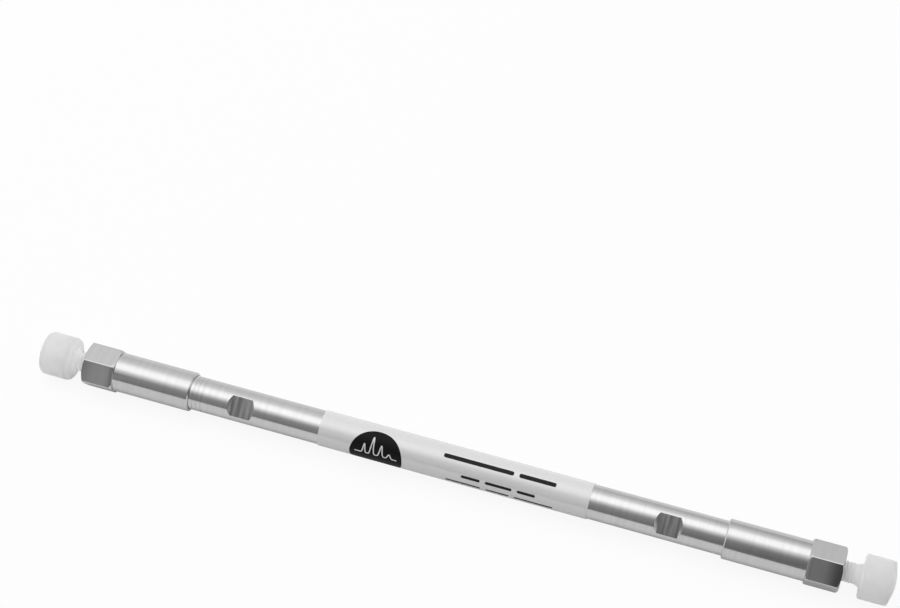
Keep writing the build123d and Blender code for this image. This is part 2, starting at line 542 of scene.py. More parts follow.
DARK_INK = PrintedFilm("dark_ink", level=0.008, rough=0.4, gloss=0.1, refraction=1.45)
GREY_INK = PrintedFilm("grey_ink", level=0.02, rough=0.42, gloss=0.1, refraction=1.45)
PALE_INK = PrintedFilm("pale_ink", level=0.7, rough=0.4)
PACKING = PackedPowder("packed_powder")


# ---------------------------------------------------------------- turned shapes
ROUND_SIDES = 96


def even_bearings(sides: int = ROUND_SIDES) -> np.ndarray:
    """Bearings of a ring's points, evenly spaced, in radians."""
    return np.arange(sides) * TURN / sides


def in_order(bearings: Sequence[float], radii: Sequence[float]) -> tuple[np.ndarray, np.ndarray]:
    """Bearings and radii of a ring's points, with the bearings within one turn and rising."""
    order = np.argsort(np.mod(bearings, TURN))
    return np.mod(bearings, TURN)[order], np.array(radii)[order]


def rounded(points: Sequence[tuple[float, float, float]], steps: int = 4) -> list[tuple[float, float]]:
    """Line through points whose corners are rounded.

    Args:
        points: Station, radius and corner radius of each point; the first and last aren't rounded.
        steps: Segments in each corner's arc.

    Returns:
        Station and radius of each point of the line, with a support point beside each arc.
    """
    line = [points[0][:2]]
    for before, here, after in zip(points, points[1:], points[2:]):
        corner = np.array(here[:2])
        if here[2] <= 0:
            line.append(here[:2])
            continue
        to_before = np.array(before[:2]) - corner
        to_after = np.array(after[:2]) - corner
        reach_before, reach_after = np.linalg.norm(to_before), np.linalg.norm(to_after)
        to_before, to_after = to_before / reach_before, to_after / reach_after
        half = math.acos(float(np.clip(to_before @ to_after, -1, 1))) / 2
        trim = here[2] / math.tan(half)
        bisector = to_before + to_after
        centre = corner + bisector / np.linalg.norm(bisector) * here[2] / math.sin(half)
        support = min(0.4 * here[2], 0.3 * (reach_before - trim), 0.3 * (reach_after - trim))
        if support > 0:
            line.append(tuple(corner + to_before * (trim + support)))
        start = corner + to_before * trim - centre
        end = corner + to_after * trim - centre
        sweep = math.pi - 2 * half
        for step in range(steps + 1):
            share = step / steps
            weight_start = math.sin((1 - share) * sweep) / math.sin(sweep)
            weight_end = math.sin(share * sweep) / math.sin(sweep)
            line.append(tuple(centre + start * weight_start + end * weight_end))
        if support > 0:
            line.append(tuple(corner + to_after * (trim + support)))
    line.append(points[-1][:2])
    return line


@dataclass
class Skin:
    """Closed skin made of rings round the X axis, written in order along a section."""

    outward: int = 1
    finish_index: int = 0
    points: list[tuple[float, float, float]] = field(default_factory=list)
    faces: list[tuple[int, ...]] = field(default_factory=list)
    face_finishes: list[int] = field(default_factory=list)
    last: Optional[tuple[list[int], np.ndarray]] = None

    def ring(self, station: Number, radius: Number, bearings: Optional[np.ndarray] = None) -> None:
        """Adds a ring and joins it to the one before.

        Args:
            station: Distance outwards along the axis, one for the ring or one for each point.
            radius: Distance from the axis, likewise.
            bearings: Rising bearings of the points in radians; even ones by default.
        """
        bearings = even_bearings() if bearings is None else bearings
        stations = np.broadcast_to(np.asarray(station, float), bearings.shape)
        radii = np.broadcast_to(np.asarray(radius, float), bearings.shape)
        first = len(self.points)
        for s, r, b in zip(stations, radii, bearings):
            self.points.append((self.outward * s, -r * math.cos(b), r * math.sin(b)))
        indices = list(range(first, len(self.points)))
        if self.last is not None:
            self._join(self.last, (indices, bearings))
        self.last = (indices, bearings)

    def rings(self, line: Sequence[tuple[float, float]], bearings: Optional[np.ndarray] = None) -> None:
        """Adds one round ring for each station and radius of a line."""
        for station, radius in line:
            self.ring(station, radius, bearings)

    def lift(self) -> None:
        """Leaves the skin open here, so that the next ring starts a new stretch."""
        self.last = None

    def pole(self, station: float) -> None:
        """Adds a point on the axis, joined to the ring before or to the next one."""
        self.points.append((self.outward * station, 0.0, 0.0))
        tip = len(self.points) - 1
        if self.last is None:
            self.last = ([tip], np.zeros(1))
            return
        self._join(self.last, ([tip], np.zeros(1)))
        self.last = None

    def _join(self, first: tuple[list[int], np.ndarray], second: tuple[list[int], np.ndarray]) -> None:
        """Fills the strip between two rings, with quads where their points pair up.

        Args:
            first: Point numbers and bearings of a ring.
            second: The same of the next ring.
        """
        (a, at), (b, bt) = first, second
        if len(a) == len(b) > 1:
            for k in range(len(a)):
                n = (k + 1) % len(a)
                self._face((a[k], a[n], b[n], b[k]))
            return
        i = j = 0
        while i < len(a) or j < len(b):
            next_a = self._next_bearing(at, i)
            next_b = self._next_bearing(bt, j)
            if next_a <= next_b:
                self._face((a[i % len(a)], a[(i + 1) % len(a)], b[j % len(b)]))
                i += 1
            else:
                self._face((a[i % len(a)], b[(j + 1) % len(b)], b[j % len(b)]))
                j += 1

    @staticmethod
    def _next_bearing(bearings: np.ndarray, index: int) -> float:
        """Bearing of the point after an index, past a full turn for the last, or infinity beyond it."""
        if index >= len(bearings):
            return math.inf
        if index + 1 < len(bearings):
            return float(bearings[index + 1])
        return float(bearings[0]) + TURN

    def _face(self, corners: tuple[int, ...]) -> None:
        """Adds one face, unless two of its corners are the same point."""
        if len(set(corners)) == len(corners):
            self.faces.append(corners)
            self.face_finishes.append(self.finish_index)


def rod_skin(
    near: float,
    far: float,
    radius: float,
    edge_round: float,
    outward: int = 1,
    flat_share: float = 0.4,
) -> Skin:
    """Solid disc or rod round the axis, with broken edges.

    Args:
        near: Station of its inner end.
        far: Station of its outer end.
        radius: Radius.
        edge_round: Radius of its edges.
        outward: Direction out of the column.
        flat_share: Radius of the flat middle of its ends, as a share of its own.

    Returns:
        The closed skin.
    """
    skin = Skin(outward)
    skin.pole(near)
    line = [
        (near, flat_share * radius, 0.0),
        (near, radius, edge_round),
        (far, radius, edge_round),
        (far, flat_share * radius, 0.0),
    ]
    skin.rings(rounded(line))
    skin.pole(far)
    return skin


@dataclass(frozen=True)
class Piece:
    """A finished piece of the object: its name, CAD body, finishes and what it stands for."""

    name: str
    body: str
    slot: str
    finishes: tuple[Finish, ...]
    replaces: tuple[str, ...] = ()

    def make(
        self,
        skins: Sequence[Skin],
        patches: Sequence[tuple[bpy.types.Mesh, int]] = (),
    ) -> bpy.types.Object:
        """Welds skins and patches into one mesh and puts it on its body.

        Args:
            skins: Rings written for this piece.
            patches: Open meshes that fill gaps between rings, each with the number of its finish.

        Returns:
            The piece's object.
        """
        work = bmesh.new()
        for skin in skins:
            corners = [work.verts.new(p) for p in skin.points]
            for face, finish in zip(skin.faces, skin.face_finishes):
                work.faces.new([corners[k] for k in face]).material_index = finish
        for mesh, finish in patches:
            before = len(work.faces)
            work.from_mesh(mesh)
            work.faces.ensure_lookup_table()
            for k in range(before, len(work.faces)):
                work.faces[k].material_index = finish
            bpy.data.meshes.remove(mesh)
        bmesh.ops.remove_doubles(work, verts=work.verts, dist=WELD_REACH)
        bmesh.ops.dissolve_degenerate(work, edges=work.edges, dist=WELD_REACH)
        bmesh.ops.recalc_face_normals(work, faces=work.faces)
        open_edges = sum(1 for e in work.edges if len(e.link_faces) != 2)
        if work.calc_volume(signed=True) < 0:
            bmesh.ops.reverse_faces(work, faces=work.faces)
        return self.place(written_mesh(self.name, work), open_edges)

    def place(self, mesh: bpy.types.Mesh, open_edges: int = 0) -> bpy.types.Object:
        """Dresses a mesh that is already where it belongs, and puts it on its body.

        Args:
            mesh: The finished mesh.
            open_edges: Edges that don't have two faces, which are logged.

        Returns:
            The piece's object.
        """
        if not mesh.materials:
            for finish in self.finishes:
                mesh.materials.append(finish.material())
        mesh.polygons.foreach_set("use_smooth", [True] * len(mesh.polygons))
        mesh.set_sharp_from_angle(angle=SHARP_ANGLE)
        made = linked_object(self.name, mesh)
        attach(made, self.body)
        if self.replaces:
            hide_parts(*self.replaces)
        LOG.info("%s: %d faces, %d open edges, on %s", self.name, len(mesh.polygons), open_edges, self.body)
        return made


# ---------------------------------------------------------------- threads
@dataclass(frozen=True)
class ThreadSkin:
    """Skin of a helical thread round the X axis, made by Geometry Nodes.

    Both thread forms share one tree. On a male thread the root lies inside the crest, and on a
    female one outside it. Matching pairs have the same pitch and phases half a turn apart.
    """

    start: float
    length: float
    root: float
    crest: float
    pitch: float
    outward: int
    lead_in: float
    phase: float = 0.0
    columns: int = ROUND_SIDES

    TREE = "thread_skin"
    ROWS_PER_TURN = 8
    INPUTS = ("Start", "Length", "Root Radius", "Crest Radius", "Pitch", "Lead In", "Phase", "Outward")

    def mesh(self, finish: Finish) -> bpy.types.Mesh:
        """Evaluates the tree for this thread.

        Args:
            finish: Finish of the thread.

        Returns:
            A plain mesh, open at both ends, where its rings have the root radius.
        """
        group = bpy.data.node_groups.get(self.TREE) or self._build()
        values = (
            self.start, self.length, self.root, self.crest, self.pitch, self.lead_in, self.phase,
            float(self.outward), self.columns, finish.material(),
        )
        names = (*self.INPUTS, "Columns", "Material")
        return run_tree(group, dict(zip(names, values)))

    def _build(self) -> bpy.types.NodeTree:
        """Writes the tree: a grid sheared along the helix, whose rows are laid on the thread's form."""
        inputs = [(name, "Float") for name in self.INPUTS]
        group = new_group(self.TREE, [*inputs, ("Columns", "Int"), ("Material", "Material")])
        tree = Tree(group)
        start = tree.node("NodeGroupInput", output="Start")
        length, root, crest, pitch, lead_in, phase, outward, columns, material = (
            start.other(name) for name in (*self.INPUTS[1:], "Columns", "Material")
        )
        turns = (length / pitch).maths("CEIL") + 3.0
        grid = tree.node(
            "GeometryNodeMeshGrid",
            sockets={"Vertices X": turns * float(self.ROWS_PER_TURN) + 1.0, "Vertices Y": columns + 1.0},
        )
        index = tree.node("GeometryNodeInputIndex")
        row = (index / (columns + 1.0) + 0.0001).maths("FLOOR")
        column = index - row * (columns + 1.0)
        share = column / columns
        first_turn = (start / pitch).maths("FLOOR") - 1.0
        free = (row / float(self.ROWS_PER_TURN) + share + first_turn) * pitch
        end = start + length
        along = free.maths("MAXIMUM", start).maths("MINIMUM", end)
        # the form: crest flat, flank, root flat, flank take one, three, one and three eighths of the pitch
        swing = (along / pitch - share - phase + 0.4375).maths("FRACT")
        offset = abs(swing - 0.5) * 2.0
        form = 1.0 - offset.between(0.125, 0.875)
        edge = (along - start).maths("MINIMUM", end - along) / lead_in
        height = form.maths("MINIMUM", edge).maths("MAXIMUM", 0.0)
        radius = root + (crest - root) * height
        angle = share * TURN
        place = tree.node(
            "ShaderNodeCombineXYZ",
            sockets={
                0: along * outward,
                1: radius * angle.maths("COSINE"),
                2: radius * angle.maths("SINE") * outward,
            },
        )
        bent = tree.node("GeometryNodeSetPosition", sockets={"Geometry": grid, "Position": place})
        tree.hand_out(bent, WELD_REACH, material)
        return group


def run_tree(
    group: bpy.types.NodeTree,
    values: dict[str, Any],
    seed: Optional[bpy.types.Mesh] = None,
) -> bpy.types.Mesh:
    """Evaluates a Geometry Nodes tree once.

    Args:
        group: The tree.
        values: A value for each of its named inputs.
        seed: Mesh that the tree starts from, where it takes one.

    Returns:
        The result as a plain mesh; the object that carried the modifier is removed.
    """
    holder = linked_object(group.name, seed or bpy.data.meshes.new(group.name))
    modifier = holder.modifiers.new(group.name, "NODES")
    modifier.node_group = group
    for socket in group.interface.items_tree:
        if socket.in_out == "INPUT" and socket.name in values:
            modifier[socket.identifier] = values[socket.name]
    graph = bpy.context.evaluated_depsgraph_get()
    mesh = bpy.data.meshes.new_from_object(holder.evaluated_get(graph), depsgraph=graph)
    holder.modifiers.remove(modifier)
    carried = holder.data
    bpy.data.objects.remove(holder)
    bpy.data.meshes.remove(carried)
    return mesh


# ---------------------------------------------------------------- column
@dataclass(frozen=True)
class SpigotThread:
    """Sizes of the thread that joins tube and fitting."""

    pitch: float = 0.75 * MM
    depth: float = 0.45 * MM


@dataclass(frozen=True)
class PortThread:
    """Sizes of the tubing port's thread, 32 turns to the inch."""

    pitch: float = 25.4 * MM / 32
    depth: float = 0.42 * MM


@dataclass
class Tube:
    """Thick steel tube with a threaded spigot at each end and two pairs of wrench flats."""

    bore: float = 4.6 * MM
    spigot_step: float = 0.1 * MM
    fitting_overlap: float = 11.5 * MM
    mouth_lap: float = 2.0 * MM
    relief_width: float = 1.2 * MM
    flat_from_mouth: float = 12.7 * MM
    flat_length: float = 4.75 * MM
    flat_depth: float = 0.825 * MM
    flat_turn: float = math.radians(44.0)
    line_from_mouth: float = 1.0 * MM
    line_spacing: float = 1.05 * MM
    line_count: int = 3
    line_width: float = 0.17 * MM
    line_depth: float = 0.06 * MM
    line_margin: float = 0.05 * MM
    edge_round: float = RIM_ROUND
    flat_margin: float = 0.2 * MM
    milled_below: float = 0.02 * MM
    shoulder_run: float = 1.0 * MM
    shoulder_round: float = 0.15 * MM
    relief_round: float = 0.2 * MM
    bore_run: float = 2.0 * MM
    lead_in: float = 0.4 * MM
    thread: SpigotThread = SpigotThread()

    def __post_init__(self) -> None:
        """Takes the overall sizes from the CAD node."""
        low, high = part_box("column_tube")
        self.end = high.x
        self.radius = high.z
        self.mouth = self.end - self.fitting_overlap
        self.spigot_start = self.mouth + self.mouth_lap
        self.relief_end = self.spigot_start + self.relief_width
        self.spigot_radius = self.radius - self.spigot_step
        self.root_radius = self.spigot_radius - self.thread.depth

    def build(self) -> bpy.types.Object:
        """Builds both halves from the middle out and welds them.

        Returns:
            The tube.
        """
        finishes = (TUBE_STEEL, MILLED_STEEL, THREAD_STEEL)
        piece = Piece("steel_tube", "column", "tube_steel", finishes, ("column_tube",))
        patches = [(self._thread(end).mesh(THREAD_STEEL), 2) for end in End]
        return piece.make([self._half(end) for end in End], patches)

    def _thread(self, end: End) -> ThreadSkin:
        """The spigot's thread at one end."""
        return ThreadSkin(
            start=self.relief_end,
            length=self.end - self.relief_end,
            root=self.root_radius,
            crest=self.spigot_radius,
            pitch=self.thread.pitch,
            outward=end.outward,
            lead_in=self.lead_in,
        )

    def _half(self, end: End) -> Skin:
        """Writes one half of the tube from its middle to its end and back through the bore.

        Args:
            end: The end that the half leads to.

        Returns:
            The half's skin, with a gap where the thread goes.
        """
        skin = Skin(end.outward)
        skin.ring(0.0, self.radius)
        self._flats(skin)
        if end is End.INLET:
            first = self.mouth - self.line_from_mouth
            for line in (first - k * self.line_spacing for k in reversed(range(self.line_count))):
                self._groove(skin, line)
        shoulder = [
            (self.spigot_start - self.shoulder_run, self.radius, 0.0),
            (self.spigot_start, self.radius, self.shoulder_round),
            (self.spigot_start, self.root_radius, self.relief_round),
            (self.relief_end, self.root_radius, 0.0),
        ]
        skin.rings(rounded(shoulder))
        skin.lift()
        face = [
            (self.end, self.root_radius, 0.0),
            (self.end, self.bore / 2, EDGE_ROUND),
            (self.end - self.bore_run, self.bore / 2, 0.0),
        ]
        skin.rings(rounded(face))
        skin.ring(0.0, self.bore / 2)
        return skin

    def _groove(self, skin: Skin, middle: float) -> None:
        """Turns one fine line into the tube."""
        half = self.line_width / 2
        bottom = self.radius - self.line_depth
        wall = 0.3 * half
        skin.rings([(middle - half - self.line_margin, self.radius), (middle - half, self.radius)])
        skin.rings([(middle - half + wall, bottom), (middle + half - wall, bottom)])
        skin.rings([(middle + half, self.radius), (middle + half + self.line_margin, self.radius)])

    def _flats(self, skin: Skin) -> None:
        """Cuts the pair of wrench flats, on rings whose points follow the flats' edges.

        Args:
            skin: Skin that has reached the tube's surface before the flats.
        """
        middle = self.mouth - self.flat_from_mouth
        floor = self.radius - self.flat_depth
        ramp = [self.flat_depth * s for s in (0.0, 0.04, 0.15, 0.3, 0.45, 0.6, 0.73, 0.84, 0.92, 0.97, 0.995)]
        inner = [self.flat_length / 2 * s for s in (0.0, 0.3, 0.6, 0.85, 0.97)]
        offsets = [(v, floor) for v in inner]
        offsets += [(self.flat_length / 2 + rise, floor + rise) for rise in ramp]
        stations = [(-v, h) for v, h in reversed(offsets)] + offsets[1:]
        skin.ring(middle + stations[0][0] - self.flat_margin, self.radius)
        for offset, height in stations:
            bearings, radii = self._flatted_ring(height)
            skin.ring(middle + offset, radii, bearings)
        skin.ring(middle + stations[-1][0] + self.flat_margin, self.radius)
        self._mark_flats(skin)

    def _flatted_ring(self, height: float) -> tuple[np.ndarray, np.ndarray]:
        """One ring across the flats.

        Args:
            height: Distance from the axis to the flats at this station.

        Returns:
            Bearings and radii of its points, in rising order of bearing.
        """
        reach = math.acos(min(height / self.radius, 1.0))
        soft = self.edge_round / self.radius
        shares = np.linspace(-1, 1, 17)
        inside = shares * max(reach - soft, 0.2 * reach)
        free = math.pi / 2 - reach - soft
        outside = reach + soft + free * np.array([0.0, 0.03, 0.08, *np.arange(0.15, 0.97, 0.07)])
        beside = np.concatenate([-outside[::-1], [-reach], inside, [reach], outside])
        bearings, radii = [], []
        for side in (self.flat_turn, self.flat_turn + math.pi):
            for delta in beside:
                radius = min(height / math.cos(delta), self.radius)
                if abs(abs(delta) - reach) < 1e-9:
                    radius -= 0.15 * self.edge_round * min(1.0, reach / (4 * soft))
                bearings.append(side + delta)
                radii.append(radius)
        return in_order(bearings, radii)

    def _mark_flats(self, skin: Skin) -> None:
        """Gives the faces that lie below the tube's surface the milled finish.

        Args:
            skin: Skin whose faces are looked at.
        """
        limit = self.radius - self.milled_below
        for number, face in enumerate(skin.faces):
            middle = np.mean([skin.points[k] for k in face], axis=0)
            spans = [math.hypot(*skin.points[k][1:]) for k in face]
            if math.hypot(middle[1], middle[2]) < limit and min(spans) < self.radius - 1e-9:
                skin.face_finishes[number] = 1


@dataclass
class Bed:
    """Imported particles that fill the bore."""

    edge_round: float = FINE_ROUND

    def build(self) -> bpy.types.Object:
        """Builds the bed with softly broken ends.

        Returns:
            The bed.
        """
        low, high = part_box("packed_bed")
        skin = rod_skin(low.x, high.x, high.z, self.edge_round, flat_share=0.5)
        return Piece("particle_bed", "column", "packing", (PACKING,), ("packed_bed",)).make([skin])


@dataclass
class Label:
    """Film wound twice round the tube, with generic print: a dark round field and plain bars."""

    film: float = 0.1 * MM
    film_gap: float = 0.002 * MM
    film_edge: float = 0.03 * MM
    seam_turn: float = math.radians(-136.0)
    climb_start: float = math.radians(24)
    climb_end: float = math.radians(46)
    ink_lift: float = 0.008 * MM
    ink_depth: float = 0.012 * MM
    field_x: float = -17.45 * MM
    field_turn: float = math.radians(5.0)
    field_radius: float = 6.3 * MM
    trace_half_width: float = 0.14 * MM
    bar_gap: float = 1.3 * MM

    def __post_init__(self) -> None:
        """Takes place and radii from the CAD node."""
        low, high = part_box("label")
        self.start, self.finish_x, self.radius = low.x, high.x, high.z
        self.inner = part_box("column_tube")[1].z + self.film_gap

    def build(self) -> list[bpy.types.Object]:
        """Builds the film and its print.

        Returns:
            The film and the pieces of print.
        """
        return [self._film(), *self._print()]

    def _film(self) -> bpy.types.Object:
        """Builds the wound film, whose last edge is a step along the back."""
        past_seam = np.linspace(0, TURN, 145)[:-1]
        extra = [TURN - 0.004, 0.006, 0.02]
        past_seam = np.sort(np.concatenate([past_seam, extra]))
        climb = np.clip((past_seam - self.climb_start) / (self.climb_end - self.climb_start), 0, 1)
        outer = self.radius - self.film * (1 - climb * climb * (3 - 2 * climb))
        bearings, outer = in_order(past_seam + self.seam_turn, outer)
        edge = self.film_edge
        skin = Skin()
        first_inner = (self.start, self.inner)
        skin.ring(*first_inner, bearings)
        for station, inset in ((0.0, edge), (0.3 * edge, 0.3 * edge), (edge, 0.0), (3 * edge, 0.0)):
            skin.ring(self.start + station, outer - inset, bearings)
        for station, inset in ((3 * edge, 0.0), (edge, 0.0), (0.3 * edge, 0.3 * edge), (0.0, edge)):
            skin.ring(self.finish_x - station, outer - inset, bearings)
        skin.ring(self.finish_x, self.inner, bearings)
        skin.ring(*first_inner, bearings)
        return Piece("wound_label", "column", "label_film", (LABEL_FILM,), ("label",)).make([skin])

    def _print(self) -> list[bpy.types.Object]:
        """Lays the print on the film.

        Returns:
            The dark field, the pale trace on it and the bars.
        """
        field_y = self.field_turn * self.radius
        disc = flat_disc(self.field_x, field_y, self.field_radius)
        trace = self._trace(field_y)
        bars = self._bars()
        made = []
        for name, shapes, finish, layer in (
            ("print_field", disc, DARK_INK, 0),
            ("print_trace", trace, PALE_INK, 1),
            ("print_bars", bars, GREY_INK, 0),
        ):
            base = self.radius + self.ink_lift + layer * (self.ink_depth + self.ink_lift)
            values = {"Radius": base, "Depth": self.ink_depth, "Material": finish.material()}
            mesh = run_tree(wrap_tree(), values, shapes)
            made.append(Piece(name, "column", "label_film", (finish,)).place(mesh))
        return made

    def _trace(self, field_y: float) -> bpy.types.Mesh:
        """Flat outline of a detector trace: a base line with four peaks.

        Args:
            field_y: Height of the field's middle on the unrolled film.

        Returns:
            A strip of quads on the unrolled film.
        """
        along = np.linspace(-0.8, 0.8, 161)
        peaks = ((-0.46, 0.045, 0.42), (-0.16, 0.055, 0.78), (0.18, 0.06, 0.5), (0.5, 0.07, 0.2))
        rise = sum(h * np.exp(-(((along - c) / w) ** 2)) for c, w, h in peaks)
        x = self.field_x + along * self.field_radius
        y = field_y + (0.08 + 0.85 * rise) * self.field_radius
        slope = np.stack([np.gradient(x), np.gradient(y)], axis=1)
        slope /= np.linalg.norm(slope, axis=1)[:, None]
        half = self.trace_half_width
        sides = [(x - slope[:, 1] * s * half, y + slope[:, 0] * s * half) for s in (-1, 1)]
        points = [(px, py, 0.0) for side in sides for px, py in zip(*side)]
        count = len(along)
        faces = [(k, k + 1, count + k + 1, count + k) for k in range(count - 1)]
        mesh = bpy.data.meshes.new("trace")
        mesh.from_pydata(points, [], faces)
        return mesh

    def _bars(self) -> bpy.types.Mesh:
        """Flat plain bars in the places of lines of print.

        Returns:
            The bars on the unrolled film.
        """
        lines = (
            # bearing of the line, height of its bars, left end, lengths of the bars
            (math.radians(74), 1.0 * MM, -2.0 * MM, (16.5 * MM, 8.6 * MM)),
            (math.radians(21), 0.7 * MM, 2.9 * MM, (4.4 * MM, 6.2 * MM, 4.2 * MM)),
            (math.radians(-9), 0.6 * MM, -0.6 * MM, (8.2 * MM, 5.4 * MM, 9.0 * MM)),
        )
        work = bmesh.new()
        for bearing, height, left, lengths in lines:
            for length in lengths:
                bar(work, left, bearing * self.radius, length, height)
                left += length + self.bar_gap
        return written_mesh("bars", work)


def flat_disc(x: float, y: float, radius: float) -> bpy.types.Mesh:
    """Disc on the unrolled film, in rings fine enough to bend.

    Args:
        x: Middle along the column.
        y: Middle across the unrolled film.
        radius: Radius.

    Returns:
        The disc.
    """
    work = bmesh.new()
    sides, rings = 96, 16
    hub = work.verts.new((x, y, 0.0))
    previous = None
    for ring in range(1, rings + 1):
        r = radius * ring / rings
        row = [
            work.verts.new((x + r * math.cos(TURN * k / sides), y + r * math.sin(TURN * k / sides), 0.0))
            for k in range(sides)
        ]
        for k in range(sides):
            n = (k + 1) % sides
            if previous is None:
                work.faces.new((hub, row[k], row[n]))
            else:
                work.faces.new((previous[k], row[k], row[n], previous[n]))
        previous = row
    return written_mesh("disc", work)


def bar(work: bmesh.types.BMesh, left: float, middle: float, length: float, height: float) -> None:
    """Adds one bar with round ends to a flat mesh.

    Args:
        work: Mesh that is being written.
        left: Left end along the column.
        middle: Middle across the unrolled film.
        length: Length.
        height: Height, which is also the diameter of its ends.
    """
    cap = 0.3 * height
    rows = 8
    levels = [height * (k / rows - 0.5) for k in range(rows + 1)]
    pairs = []
    for level in levels:
        over = max(abs(level) - (height / 2 - cap), 0.0)
        inset = cap - math.sqrt(max(cap * cap - over * over, 0.0))
        a = work.verts.new((left + inset, middle + level, 0.0))
        b = work.verts.new((left + length - inset, middle + level, 0.0))
        pairs.append((a, b))
    for (a, b), (c, d) in zip(pairs, pairs[1:]):
        work.faces.new((a, b, d, c))


def wrap_tree() -> bpy.types.NodeTree:
    """Geometry Nodes tree that bends a flat shape round the X axis and gives it a thickness.

    Returns:
        The tree, with inputs Radius, Depth and Material.
    """
    name = "wrapped_print"
    group = bpy.data.node_groups.get(name)
    if group is not None:
        return group
    sizes = [("Radius", "Float"), ("Depth", "Float")]
    group = new_group(name, [("Geometry", "Geometry"), *sizes, ("Material", "Material")])
    tree = Tree(group)
    flat = tree.node("NodeGroupInput", output="Geometry")
    radius, depth, material = (flat.other(n) for n in ("Radius", "Depth", "Material"))
    here = tree.node("GeometryNodeInputPosition")
    x = tree.node("ShaderNodeSeparateXYZ", sockets={0: here})
    angle = x.other(1) / radius
    out = tree.node("ShaderNodeCombineXYZ", sockets={1: -angle.maths("COSINE"), 2: angle.maths("SINE")})
    base = tree.node("ShaderNodeVectorMath", {"operation": "SCALE"}, {0: out, "Scale": radius})
    along = tree.node("ShaderNodeCombineXYZ", sockets={0: x})
    place = tree.node("ShaderNodeVectorMath", {"operation": "ADD"}, {0: base, 1: along})
    bent = tree.node("GeometryNodeSetPosition", sockets={"Geometry": flat, "Position": place})
    raised = tree.node(
        "GeometryNodeExtrudeMesh", {"mode": "FACES"},
        {"Mesh": bent, "Offset": radial(tree), "Offset Scale": depth, "Individual": False},
    )
    under = tree.node("GeometryNodeFlipFaces", sockets={0: bent})
    both = tree.node("GeometryNodeJoinGeometry")
    for part in (under, raised):
        group.links.new(part.socket, both.socket.node.inputs[0])
    tree.hand_out(both, INK_WELD_REACH, material)
    return group


def radial(tree: Tree) -> Signal:
    """Direction away from the X axis at a point of the geometry."""
    here = tree.node("GeometryNodeInputPosition")
    flat = tree.node("ShaderNodeVectorMath", {"operation": "MULTIPLY"}, {0: here, 1: (0.0, 1.0, 1.0)})
    return tree.node("ShaderNodeVectorMath", {"operation": "NORMALIZE"}, {0: flat})


